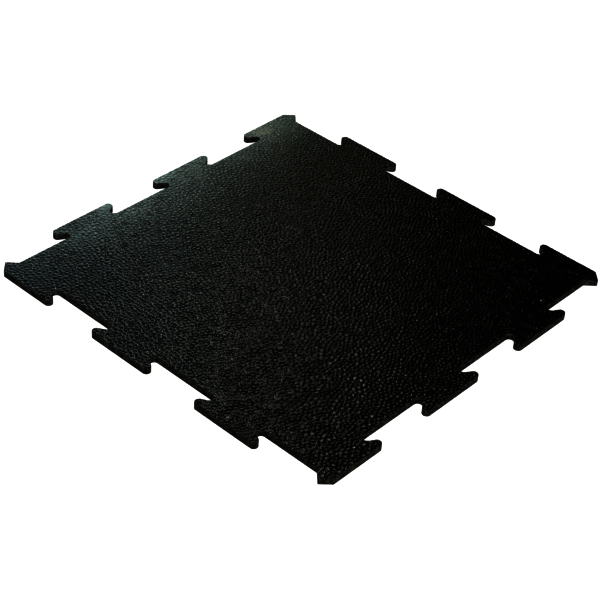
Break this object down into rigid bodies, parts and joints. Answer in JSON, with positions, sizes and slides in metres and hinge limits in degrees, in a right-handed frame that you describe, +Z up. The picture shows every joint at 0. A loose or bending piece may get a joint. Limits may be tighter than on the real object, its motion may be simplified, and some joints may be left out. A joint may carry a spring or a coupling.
{
  "type": "interlocking rubber floor tile",
  "caption": "Square black rubber floor tile with a pebbled walking face and dovetail tabs and sockets on every side, for joining into a floor.",
  "frame": {"origin": "centre of the underside, on the floor", "axes": "+Z up through the walking face, +X and +Y square to two neighbouring sides"},
  "size_m": [1.046, 1.046, 0.018],
  "materials": {
    "rubber": "moulded black rubber, satin on the pebbled walking face, matt on the edges"
  },
  "bodies": {
    "root": {"rubber_tile": "rubber"}
  },
  "joints": []
}
